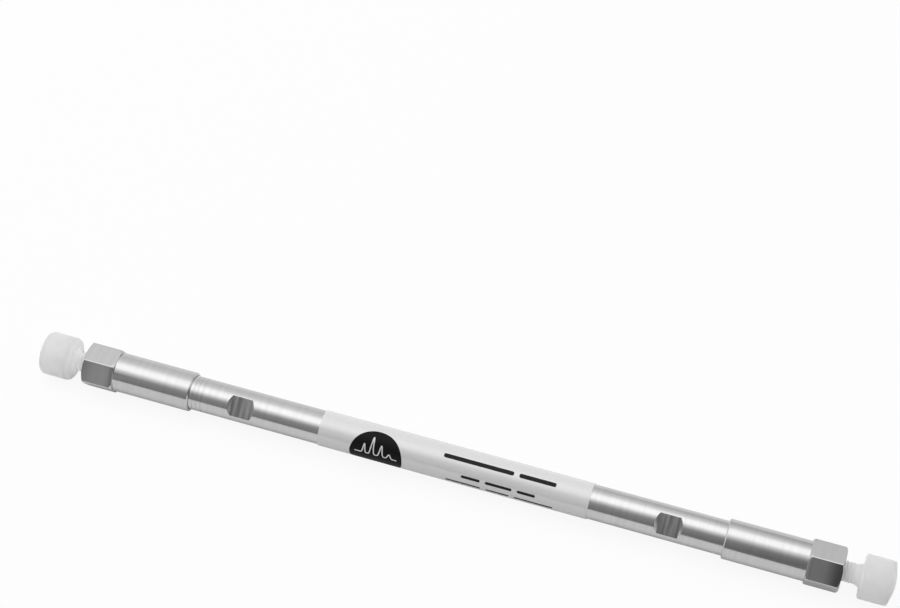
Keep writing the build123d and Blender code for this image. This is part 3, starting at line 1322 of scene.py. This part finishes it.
# ---------------------------------------------------------------- ends
@dataclass
class EndFitting:
    """Hex and long turned barrel in one, with the coned tubing port and the seat for the frit."""

    end: End
    hex_turn: float
    tube: Tube
    tube_fit: float = 0.05 * MM
    barrel_wall: float = 0.575 * MM
    hex_rise: float = 0.1375 * MM
    hex_length: float = 7.8 * MM
    end_chamfer: float = 0.8 * MM
    end_angle: float = math.radians(28.0)
    shoulder_chamfer: float = 0.45 * MM
    shoulder_round: float = 0.13 * MM
    mouth_chamfer: float = 0.25 * MM
    corner_round: float = 0.3 * MM
    crease_round: float = 0.05 * MM
    ring_thickness: float = 1.6 * MM
    ring_proud: float = 0.1 * MM
    web: float = 2.2 * MM
    flow_radius: float = 0.25 * MM
    port_radius: float = 2.415 * MM
    port_chamfer: float = 0.35 * MM
    port_depth: float = 7.2 * MM
    seat_radius: float = 1.45 * MM
    pilot_radius: float = 0.825 * MM
    pilot_length: float = 2.3 * MM
    shoulder_gap: float = 0.3 * MM
    mouth_land: float = 0.2 * MM
    port_land: float = 0.5 * MM
    pocket_round: float = 0.1 * MM
    brink: float = 0.02 * MM
    lead_in: float = 0.3 * MM
    port_thread: PortThread = PortThread()

    def __post_init__(self) -> None:
        """Works out the stations, with the fitting's length and the ring's size from the CAD nodes."""
        low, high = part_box(f"{self.end.label}_end_fitting")
        self.face = max(abs(low.x), abs(high.x))
        self.mouth = min(abs(low.x), abs(high.x))
        self.mouth_radius = self.tube.radius + self.tube_fit
        self.barrel_radius = self.mouth_radius + self.barrel_wall
        self.apothem = self.barrel_radius + self.hex_rise
        self.corner = self.apothem / math.cos(HALF_FLAT)
        self.hex_start = self.face - self.hex_length
        self.end_run = self.end_chamfer * math.tan(self.end_angle)
        self.thread_radius = self.tube.spigot_radius + self.tube_fit
        self.pocket_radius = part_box(f"{self.end.label}_frit_ring")[1].z + PRESS_FIT
        self.pocket_mouth = self.tube.end + self.ring_proud
        self.pocket_floor = self.tube.end + self.ring_thickness
        self.counterbore_end = self.tube.spigot_start + self.shoulder_gap
        self.port_floor = self.face - self.port_depth
        self.pilot_end = self.pocket_floor + self.web
        self.seat_inner = self.pilot_end + self.pilot_length

    def build(self) -> bpy.types.Object:
        """Builds the fitting with its two female threads.

        Returns:
            The fitting.
        """
        finishes = (FITTING_STEEL, HEX_STEEL, THREAD_STEEL)
        name, body = self.end.label, f"{self.end.label}_fitting"
        piece = Piece(f"{name}_fitting_body", body, "fitting_steel", finishes, (f"{name}_end_fitting",))
        patches = [(thread.mesh(THREAD_STEEL), 2) for thread in (self._spigot_thread(), self._port_thread())]
        return piece.make([self._skin()], patches)

    def _spigot_thread(self) -> ThreadSkin:
        """Female thread that takes the tube's spigot."""
        return ThreadSkin(
            start=self.counterbore_end,
            length=self.pocket_mouth - self.counterbore_end,
            root=self.thread_radius,
            crest=self.thread_radius - self.tube.thread.depth + PRESS_FIT,
            pitch=self.tube.thread.pitch,
            outward=self.end.outward,
            lead_in=self.lead_in,
            phase=0.5,
        )

    def _port_thread(self) -> ThreadSkin:
        """Female thread of the tubing port."""
        return ThreadSkin(
            start=self.port_floor,
            length=self.face - self.port_chamfer - self.port_floor,
            root=self.port_radius,
            crest=self.port_radius - self.port_thread.depth,
            pitch=self.port_thread.pitch,
            outward=self.end.outward,
            lead_in=self.lead_in,
            phase=0.5,
        )

    def _skin(self) -> Skin:
        """Writes the fitting from its mouth over the outside and back through the inside.

        Returns:
            The skin, with gaps where the threads go.
        """
        skin = Skin(self.end.outward)
        skin.ring(self.mouth, self.mouth_radius + self.mouth_land)
        barrel = [
            (self.mouth, self.mouth_radius + self.mouth_land, 0.0),
            (self.mouth, self.barrel_radius - self.mouth_chamfer, RIM_ROUND),
            (self.mouth + self.mouth_chamfer, self.barrel_radius, EDGE_ROUND),
            (self.hex_start, self.barrel_radius, 0.0),
        ]
        skin.rings(rounded(barrel)[1:])
        self._hex(skin)
        port_edge = [
            (self.face, self.port_radius + self.port_chamfer + self.port_land, 0.0),
            (self.face, self.port_radius + self.port_chamfer, RIM_ROUND),
            (self.face - self.port_chamfer, self.port_radius, 0.0),
        ]
        skin.rings(rounded(port_edge))
        skin.lift()
        inside = [
            (self.port_floor, self.port_radius, 0.0),
            (self.port_floor, self.seat_radius, EDGE_ROUND),
            (self.seat_inner, self.pilot_radius, FINE_ROUND),
            (self.pilot_end, self.pilot_radius, 0.0),
            (self.pilot_end, self.flow_radius, 0.0),
            (self.pocket_floor, self.flow_radius, 0.0),
            (self.pocket_floor, self.pocket_radius, self.pocket_round),
            (self.pocket_mouth, self.pocket_radius, RIM_ROUND),
            (self.pocket_mouth, self.thread_radius, 0.0),
        ]
        skin.rings(rounded(inside, 3))
        skin.lift()
        mouth = [
            (self.counterbore_end, self.thread_radius, 0.0),
            (self.counterbore_end, self.mouth_radius, 0.0),
            (self.mouth, self.mouth_radius, FINE_ROUND),
            (self.mouth, self.mouth_radius + self.mouth_land, 0.0),
        ]
        skin.rings(rounded(mouth, 3))
        return skin

    def _hex(self, skin: Skin) -> None:
        """Writes the hex, on rings that follow the curved edges of its two chamfers.

        Args:
            skin: Skin that has reached the foot of the hex.
        """
        bearings, outline = self._hex_outline()
        lift = self.corner - outline
        # shoulder: a wall, then a cone where the corners stand out above it, both ends of the cone eased
        run = np.maximum(self.shoulder_chamfer - lift, 0.0)
        soft = self.shoulder_round
        share = np.minimum(run / (0.6 * soft), 1.0)
        trim = soft * (1.0 - 0.586 * share)
        skin.ring(self.hex_start, self.barrel_radius, bearings)
        skin.ring(self.hex_start, outline - run - trim, bearings)
        for along, across in (((0.134, 0.29), (-0.5, 0.29)), ((0.5, -0.29), (-0.134, -0.29))):
            base = run if along[0] > 0.2 else 0.0
            station = self.hex_start + base + soft * (along[0] + share * (along[1] - along[0]))
            radius = outline - run + base + soft * (across[0] + share * (across[1] - across[0]))
            skin.ring(station, radius, bearings)
        skin.finish_index = 1
        skin.ring(self.hex_start + run + trim, outline, bearings)
        for step in np.linspace(0.12, 0.88, 5):
            skin.ring(self.hex_start + step * self.hex_length, outline, bearings)
        # far end: the cone leaves each flat and runs down to the face
        slope = self.end_run / self.end_chamfer
        drop = self.end_chamfer - lift
        leave = self.face - slope * drop
        reach = math.hypot(self.end_run, self.end_chamfer)
        down, out = self.end_chamfer / reach, self.end_run / reach
        soft = np.minimum(self.crease_round, 0.4 * drop)
        skin.ring(leave - 3 * soft, outline, bearings)
        skin.ring(leave - soft, outline, bearings)
        skin.ring(leave - 0.25 * soft * (1 - out), outline - 0.25 * soft * down, bearings)
        skin.finish_index = 0
        skin.ring(leave + soft * out, outline - soft * down, bearings)
        rim = self.corner - self.end_chamfer
        brink = self.brink
        skin.ring(self.face - brink * out, rim + brink * down, bearings)
        skin.ring(self.face - 0.25 * brink * out, rim - 0.25 * brink * (1 - down), bearings)
        skin.ring(self.face, rim - brink, bearings)
        skin.ring(self.face, rim - 4 * brink, bearings)

    def _hex_outline(self) -> tuple[np.ndarray, np.ndarray]:
        """The hex across the axis, its six corners rounded.

        Returns:
            Bearings of its points and their distances from the axis.
        """
        flat = list(np.arange(0.0, 27.1, 1.5))
        half = flat + [28.0, 28.4, 28.8, 29.1, 29.4, 29.7, 30.0]
        deltas = sorted(set([-d for d in half[:-1]] + half))
        hub = (self.apothem - self.corner_round) / math.cos(HALF_FLAT)
        tangent = math.atan2(self.corner_round / 2, hub + self.corner_round * math.cos(HALF_FLAT))
        bearings, radii = [], []
        for flank in range(6):
            normal = (1 + 2 * flank) * HALF_FLAT - self.hex_turn
            for delta in deltas:
                off_corner = HALF_FLAT - math.radians(abs(delta))
                if off_corner < tangent:
                    reach = math.sqrt(self.corner_round**2 - (hub * math.sin(off_corner)) ** 2)
                    radius = hub * math.cos(off_corner) + reach
                else:
                    radius = self.apothem / math.cos(math.radians(delta))
                bearings.append(normal + math.radians(delta))
                radii.append(radius)
        return in_order(bearings, radii)


@dataclass
class FritSet:
    """Sintered disc over the end of the bore and the plastic ring pressed round it."""

    end: End
    edge_round: float = EDGE_ROUND

    def build(self) -> list[bpy.types.Object]:
        """Builds the frit and its ring.

        Returns:
            Both pieces.
        """
        name, body = self.end.label, f"{self.end.label}_fitting"
        frit = Piece(f"{name}_sintered_frit", body, "frit_steel", (FRIT_STEEL,), (f"{name}_frit",))
        ring = Piece(f"{name}_seal_ring", body, "seal_plastic", (SEAL_PLASTIC,), (f"{name}_frit_ring",))
        disc = rod_skin(*self._reach("frit"), self.edge_round, self.end.outward)
        return [frit.make([disc]), ring.make([self._ring_skin()])]

    def _reach(self, node: str) -> tuple[float, float, float]:
        """Near station, far station and radius of a node of this end."""
        low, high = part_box(f"{self.end.label}_{node}")
        return min(abs(low.x), abs(high.x)), max(abs(low.x), abs(high.x)), high.z

    def _ring_skin(self) -> Skin:
        """Ring with broken edges, round the frit."""
        near, far, radius = self._reach("frit_ring")
        hole = self._reach("frit")[2] + PRESS_FIT
        middle = (hole + radius) / 2
        skin = Skin(self.end.outward)
        line = [
            (near, middle, 0.0),
            (near, radius, self.edge_round),
            (far, radius, self.edge_round),
            (far, hole, self.edge_round),
            (near, hole, self.edge_round),
            (near, middle, 0.0),
        ]
        skin.rings(rounded(line))
        return skin


@dataclass
class StoragePlug:
    """Plug with a domed round head, a short flared neck, a threaded shank and a coned nose."""

    end: End
    fitting: EndFitting
    head_length: float = 6.7 * MM
    inlet_extra: float = 0.85 * MM
    inlet_round: float = 0.6 * MM
    dome: float = 0.8 * MM
    inner_round: float = 0.55 * MM
    rim_round: float = 0.65 * MM
    neck_thread: float = 2.6 * MM
    neck_step: float = 0.1 * MM
    neck_flare: float = 0.55 * MM
    flare_share: float = 0.7
    thread_depth: float = 0.22 * MM
    thread_fit: float = 0.05 * MM
    shank_setback: float = 0.2 * MM
    nose_setback: float = 0.3 * MM
    seat_angle: float = math.radians(20)
    flare_round: float = 0.45 * MM
    neck_round: float = 0.6 * MM
    neck_end: float = 0.15 * MM
    tip_round: float = 0.1 * MM
    lead_in: float = 0.3 * MM

    def __post_init__(self) -> None:
        """Takes the head's radius and the apex from the CAD node."""
        low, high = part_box(f"{self.end.label}_plug")
        self.radius = high.z
        self.apex = max(abs(low.x), abs(high.x))
        self.rim = self.apex - self.dome
        if self.end is End.INLET:
            self.head_length += self.inlet_extra
            self.inner_round += self.inlet_round
            self.rim_round += self.inlet_round
        self.head = self.rim - self.head_length
        self.crest = self.fitting.port_radius - self.thread_fit
        self.root = self.crest - self.thread_depth
        self.shank_end = self.fitting.port_floor + self.shank_setback
        self.thread_out = self.fitting.face + self.neck_thread

    def build(self) -> bpy.types.Object:
        """Builds the plug.

        Returns:
            The plug.
        """
        name = self.end.label
        piece = Piece(f"{name}_stopper", f"{name}_plug", "plug_plastic", (PLUG_PLASTIC,), (f"{name}_plug",))
        thread = ThreadSkin(
            start=self.shank_end,
            length=self.thread_out - self.shank_end,
            root=self.root,
            crest=self.crest,
            pitch=self.fitting.port_thread.pitch,
            outward=self.end.outward,
            lead_in=self.lead_in,
        )
        return piece.make([self._skin()], [(thread.mesh(PLUG_PLASTIC), 0)])

    def _skin(self) -> Skin:
        """Writes the plug from its apex over the head to the thread, and from there to the nose.

        Returns:
            The skin, with a gap where the thread goes.
        """
        skin = Skin(self.end.outward)
        skin.pole(self.apex)
        crown = self.radius - self.rim_round
        sphere = (crown**2 + self.dome**2) / (2 * self.dome)
        centre = self.apex - sphere
        top = math.asin(crown / sphere)
        for share in (0.12, 0.3, 0.5, 0.7, 0.86, 0.95):
            skin.ring(centre + sphere * math.cos(top * share), sphere * math.sin(top * share))
        neck = self.crest - self.neck_step
        flare = neck + self.neck_flare
        line = [
            (centre + sphere * math.cos(top * 0.97), sphere * math.sin(top * 0.97), 0.0),
            (self.rim + 0.12 * self.dome, self.radius, self.rim_round),
            (self.head, self.radius, self.inner_round),
            (self.head, flare, self.flare_round),
            (self.head - self.flare_share * (self.head - self.thread_out), neck, self.neck_round),
            (self.thread_out + self.neck_end, neck, FINE_ROUND),
            (self.thread_out, self.root, 0.0),
        ]
        skin.rings(rounded(line, 6))
        skin.lift()
        base = self.fitting.seat_radius - self.thread_fit
        tip_x = self.fitting.seat_inner + self.nose_setback
        tip = self.fitting.pilot_radius + self.nose_setback * math.tan(self.seat_angle) - self.thread_fit
        nose = [
            (self.shank_end, self.root, 0.0),
            (self.shank_end, base, 0.0),
            (self.fitting.port_floor, base, EDGE_ROUND),
            (tip_x, tip, self.tip_round),
            (tip_x, 0.4 * tip, 0.0),
        ]
        skin.rings(rounded(nose))
        skin.pole(tip_x)
        return skin


# ---------------------------------------------------------------- studio
@dataclass(frozen=True)
class WhiteFloor(Finish):
    """Pale floor that is white where nothing shades it, and lets the surround show far out."""

    level: float = 0.9
    bounce_share: float = 0.8
    camera_white: float = 0.9
    glossy_white: float = 0.7
    # painted shadow: reflections see the floor darker along the column's line, down to this share, over these
    # distances from it
    painted_shadow_share: float = 0.22
    contact_near: float = 3.0 * MM
    contact_far: float = 10.0 * MM
    grain_size: float = 1.5 * MM
    grain_shade: float = 0.995
    fade_start: float = 0.45
    fade_end: float = 0.75

    def surface(self, tree: Tree) -> Signal:
        """Floor shader: matte, fading out with distance from the column, with a painted shadow along the
        column in what reflections see.
        """
        x, y, _ = tree.place()
        away = (x * x + y * y).maths("SQRT").smooth_between(self.fade_start, self.fade_end)
        grain = tree.grain(self.grain_size, 2.0)
        tone = tree.mix_colour(grain, grey(self.level * self.grain_shade), grey(self.level))
        bounce = tree.node("ShaderNodeLightPath", output="Is Diffuse Ray") * (1.0 - self.bounce_share)
        dimmed = tree.mix_colour(bounce, tone, grey(0.0))
        matte = tree.node("ShaderNodeBsdfDiffuse", sockets={"Color": dimmed})
        paper = tree.node("ShaderNodeEmission", sockets={"Color": grey(1.0), "Strength": 1.0})
        camera = tree.node("ShaderNodeLightPath", output="Is Camera Ray")
        # painted shadow: the white that reflections see is dimmed in a strip along the column, deeper than
        # the floor's own shadow
        clear_of_painted_shadow = abs(y).smooth_between(self.contact_near, self.contact_far)
        shade = clear_of_painted_shadow * (1.0 - self.painted_shadow_share) + self.painted_shadow_share
        glossy = camera.other("Is Glossy Ray") * shade * self.glossy_white
        seen = (camera * self.camera_white).maths("MAXIMUM", glossy)
        matte = tree.node("ShaderNodeMixShader", sockets={0: seen, 1: matte, 2: paper})
        clear = tree.node("ShaderNodeBsdfTransparent")
        return tree.node("ShaderNodeMixShader", sockets={0: away, 1: matte, 2: clear})


@dataclass(frozen=True)
class CanopyLight(Finish):
    """Light of the arched canopy: dim low at the front, brightest overhead, pale towards the back.

    The angle is measured round the X axis from the front horizon. Its end walls are bright on the
    inlet side and dim low on the outlet side.
    """

    span: float = 172.0
    half_length: float = 1.3
    matte_share: float = 0.85
    edge_climb: float = 58.0
    edge_low: float = 3.5
    edge_high: float = 20.0
    climb_from: float = -0.15
    low_fall: float = 0.25
    back_fall: float = 0.25
    inlet_wall: float = 1.8
    outlet_wall: float = 0.25
    matte_tilt: float = 0.12
    wall_depth: float = 0.03
    # spans in metres along the column, or in degrees round it, over which each change comes in
    climb_fade: tuple[float, float] = (108.0, 150.0)
    low_along: tuple[float, float] = (0.0, 0.09)
    low_round: tuple[float, float] = (40.0, 58.0)
    back_along: tuple[float, float] = (-0.2, 0.12)
    back_round: tuple[float, float] = (132.0, 158.0)
    inlet_round: tuple[float, float] = (60.0, 130.0)
    outlet_round: tuple[float, float] = (50.0, 120.0)
    # angle in degrees and brightness, where 1 is the white of the surround
    levels: tuple[tuple[float, float], ...] = (
        (0.0, 0.27), (8.0, 0.3), (16.0, 0.34), (28.0, 0.37), (36.0, 0.43), (42.0, 0.55), (50.0, 0.84),
        (58.0, 1.16), (66.0, 1.6), (74.0, 1.8), (88.0, 1.78), (98.0, 1.66), (107.0, 1.38), (116.0, 1.15),
        (126.0, 1.02), (143.0, 0.92), (155.0, 0.88), (172.0, 0.92),
    )

    def surface(self, tree: Tree) -> Signal:
        """Canopy shader: plain emission that depends on the angle and the place along the column."""
        x, y, z = tree.place()
        angle = z.maths("ARCTAN2", -y) * math.degrees(1)
        climb = (x - self.climb_from) * self.edge_climb + self.edge_low
        climb = climb.maths("MAXIMUM", self.edge_low).maths("MINIMUM", self.edge_high)
        seen = angle - climb * (1.0 - angle.smooth_between(*self.climb_fade))
        peak = max(level for _, level in self.levels)
        stops = [(at / self.span, level / peak) for at, level in self.levels]
        ramp = tree.node("ShaderNodeValToRGB", {"stops": stops}, {"Fac": seen / self.span})
        front = 1.0 - angle.smooth_between(*self.low_round)
        low = 1.0 - x.smooth_between(*self.low_along) * front * self.low_fall
        back = angle.smooth_between(*self.back_round)
        back = 1.0 - x.smooth_between(*self.back_along) * back * self.back_fall
        arch = tree.node("ShaderNodeRGBToBW", sockets={0: ramp}) * low * back * peak
        inlet = (1.0 - angle.smooth_between(*self.inlet_round)) * (self.inlet_wall - 1.0) + 1.0
        outlet = angle.smooth_between(*self.outlet_round) * (1.0 - self.outlet_wall) + self.outlet_wall
        walls = (self.half_length - self.wall_depth, self.half_length - self.wall_depth / 3)
        level = self.blend(x.between(*walls), arch, outlet)
        level = self.blend((-x).between(*walls), level, inlet)
        glossy = tree.node("ShaderNodeLightPath", output="Is Glossy Ray")
        matte = (1.0 - x * self.matte_tilt) * self.matte_share
        strength = self.blend(glossy, matte, matte * 0.0 + 1.0) * level
        return tree.node("ShaderNodeEmission", sockets={"Color": grey(1.0), "Strength": strength})

    @staticmethod
    def blend(share: Signal, first: Signal, second: Signal) -> Signal:
        """Value between two others."""
        return first + (second - first) * share


@dataclass(frozen=True)
class DimCard(Finish):
    """Card that only reflections see: two dim bands with upright edges, clear before the first."""

    near_level: float = 0.29
    far_level: float = 0.07
    edge_x: float = 0.0852
    far_x: float = 0.0899
    edge_width: float = 0.004
    clear_width: float = 0.5 * MM
    length: float = 0.12
    away: int = 1

    def surface(self, tree: Tree) -> Signal:
        """Card shader: a dim glow, clear on the near side of its edge."""
        x, _, _ = tree.place()
        share = ((x - self.edge_x) * float(self.away)).smooth_between(0.0, self.clear_width)
        far = ((x - self.far_x) * float(self.away)).smooth_between(0.0, self.edge_width)
        tone = tree.mix_colour(far, grey(self.near_level), grey(self.far_level))
        glow = tree.node("ShaderNodeEmission", sockets={"Color": tone, "Strength": 1.0})
        clear = tree.node("ShaderNodeBsdfTransparent")
        return tree.node("ShaderNodeMixShader", sockets={0: share, 1: clear, 2: glow})


@dataclass
class Studio:
    """Floor, canopy light, dim cards at the ends, white surround and camera."""

    floor_radius: float = 0.8
    canopy_radius: float = 0.85
    matte_light: float = 0.45
    lens: float = 82.0
    sensor: float = 36.0
    card_distance: float = 0.12
    card_height: float = 0.1
    camera_place: tuple[float, float, float] = (0.0712, -0.2658, 0.3797)
    azimuth: float = math.radians(15.52)
    elevation: float = math.radians(49.63)
    roll: float = math.radians(2.67)

    def build(self, floor_height: float) -> None:
        """Builds everything that isn't part of the object.

        Args:
            floor_height: Height of the floor, which the object lies on.
        """
        self._floor(floor_height)
        self._canopy()
        self._card(DimCard("outlet_card"))
        self._card(
            DimCard(
                "inlet_card", near_level=0.43, far_level=0.13, edge_x=-0.1218, far_x=-0.127,
                edge_width=0.008, away=-1,
            )
        )
        self._surround()
        self._camera()
        bpy.context.scene.view_settings.view_transform = "Standard"

    def _stage_piece(self, name: str, mesh: bpy.types.Mesh, finish: Finish) -> bpy.types.Object:
        """Links a mesh that isn't part of the object."""
        mesh.materials.append(finish.material())
        made = linked_object(name, mesh)
        made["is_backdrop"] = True
        LOG.info("%s: stage", name)
        return made

    def _floor(self, height: float) -> None:
        """Round pale floor."""
        work = bmesh.new()
        bmesh.ops.create_circle(work, cap_ends=True, segments=96, radius=self.floor_radius)
        bmesh.ops.translate(work, verts=work.verts, vec=(0.0, 0.0, height))
        self._stage_piece("floor", written_mesh("floor", work), WhiteFloor("white_floor"))

    def _canopy(self) -> None:
        """Arched light over the column, from the front horizon to behind the zenith, unseen by the camera."""
        light = CanopyLight("canopy_light")
        steps = 96
        reach = light.half_length
        points, faces = [(-reach, 0.0, 0.0), (reach, 0.0, 0.0)], []
        for k in range(steps + 1):
            angle = math.radians(light.span) * k / steps
            y, z = -self.canopy_radius * math.cos(angle), self.canopy_radius * math.sin(angle)
            points += [(-reach, y, z), (reach, y, z)]
        for k in range(2, 2 * steps + 2, 2):
            faces += [(k, k + 1, k + 3, k + 2), (0, k, k + 2), (1, k + 1, k + 3)]
        mesh = bpy.data.meshes.new("canopy")
        mesh.from_pydata(points, [], faces)
        canopy = self._stage_piece("canopy", mesh, light)
        canopy.visible_camera = False
        canopy.visible_transmission = False
        canopy.visible_shadow = False

    def _card(self, finish: DimCard) -> None:
        """Small card in front of one end, which darkens what a hex flat reflects.

        Args:
            finish: The card's finish, with the place of its edge.
        """
        reach = finish.edge_x + finish.length * finish.away
        heights, sides = (0.0, self.card_height), (finish.edge_x, reach)
        corners = [(x, -self.card_distance, z) for z in heights for x in sides]
        mesh = bpy.data.meshes.new(finish.name)
        mesh.from_pydata(corners, [], [(0, 1, 3, 2)])
        card = self._stage_piece(finish.name, mesh, finish)
        card.visible_camera = card.visible_diffuse = card.visible_transmission = card.visible_shadow = False

    def _surround(self) -> None:
        """White surround, seen as white by the camera and in reflections, and softer as a light."""
        world = bpy.data.worlds.new("white_surround")
        bpy.context.scene.world = world
        world.use_nodes = True
        world.node_tree.nodes.clear()
        tree = Tree(world.node_tree)
        camera = tree.node("ShaderNodeLightPath", output="Is Camera Ray")
        seen = camera.maths("MAXIMUM", camera.other("Is Glossy Ray"))
        seen = seen.maths("MAXIMUM", camera.other("Is Transmission Ray"))
        strength = seen * (1.0 - self.matte_light) + self.matte_light
        light = tree.node("ShaderNodeBackground", sockets={"Color": grey(1.0), "Strength": strength})
        tree.node("ShaderNodeOutputWorld", sockets={"Surface": light})

    def _camera(self) -> None:
        """Camera above the front, a little towards the outlet."""
        data = bpy.data.cameras.new("camera")
        data.lens, data.sensor_width = self.lens, self.sensor
        data.clip_start, data.clip_end = 0.01, 10.0
        camera = linked_object("camera", data)
        a, e, r = self.azimuth, self.elevation, self.roll
        forward = Vector((-math.sin(a) * math.cos(e), math.cos(a) * math.cos(e), -math.sin(e)))
        level = Vector((math.cos(a), math.sin(a), 0.0))
        above = level.cross(forward)
        right = level * math.cos(r) + above * math.sin(r)
        up = right.cross(forward)
        rotation = Matrix((right, up, -forward)).transposed()
        camera.matrix_world = Matrix.Translation(self.camera_place) @ rotation.to_4x4()
        bpy.context.scene.camera = camera


# ---------------------------------------------------------------- whole object
HEX_TURNS = {End.INLET: math.radians(-0.5), End.OUTLET: math.radians(-7.5)}


def main() -> None:
    """Builds the column from its tube out to its plugs, then the studio."""
    logging.basicConfig(level=logging.INFO, format="%(name)s: %(message)s")
    cad_low, cad_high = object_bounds()
    tube = Tube()
    tube.build()
    Bed().build()
    Label().build()
    for end in End:
        fitting = EndFitting(end, HEX_TURNS[end], tube)
        fitting.build()
        FritSet(end).build()
        StoragePlug(end, fitting).build()
    Studio().build(cad_low.z)


if __name__ == "__main__":
    main()
